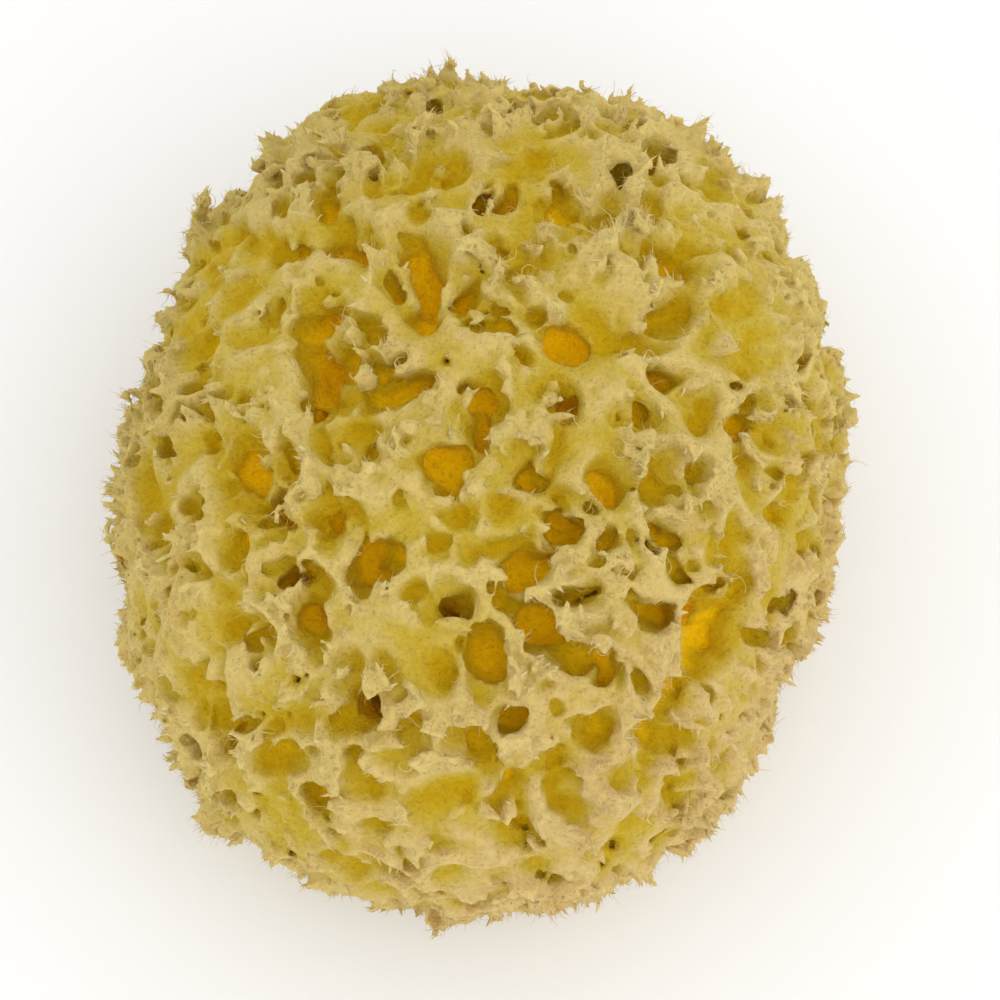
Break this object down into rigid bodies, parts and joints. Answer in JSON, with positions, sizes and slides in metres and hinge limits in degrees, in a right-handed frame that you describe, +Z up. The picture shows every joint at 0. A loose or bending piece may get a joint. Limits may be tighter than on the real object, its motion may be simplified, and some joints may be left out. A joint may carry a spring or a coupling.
{
  "type": "sea sponge",
  "caption": "Rounded natural bath sponge, porous and tufted all over, cut flat underneath where it was taken off the rock, so that it rests on the cut.",
  "frame": {"origin": "middle of the flat cut underneath, on the surface that the sponge rests on", "axes": "+Z up from the cut to the crown, +Y along the sponge's longest side, +X across it"},
  "size_m": [0.108, 0.1304, 0.082],
  "materials": {
    "sponge_fibre": "dry felted spongin fibre, matt, pale cream on the tips and deep ochre inside the pores"
  },
  "bodies": {
    "root": {"sponge": "sponge_fibre"}
  },
  "joints": []
}
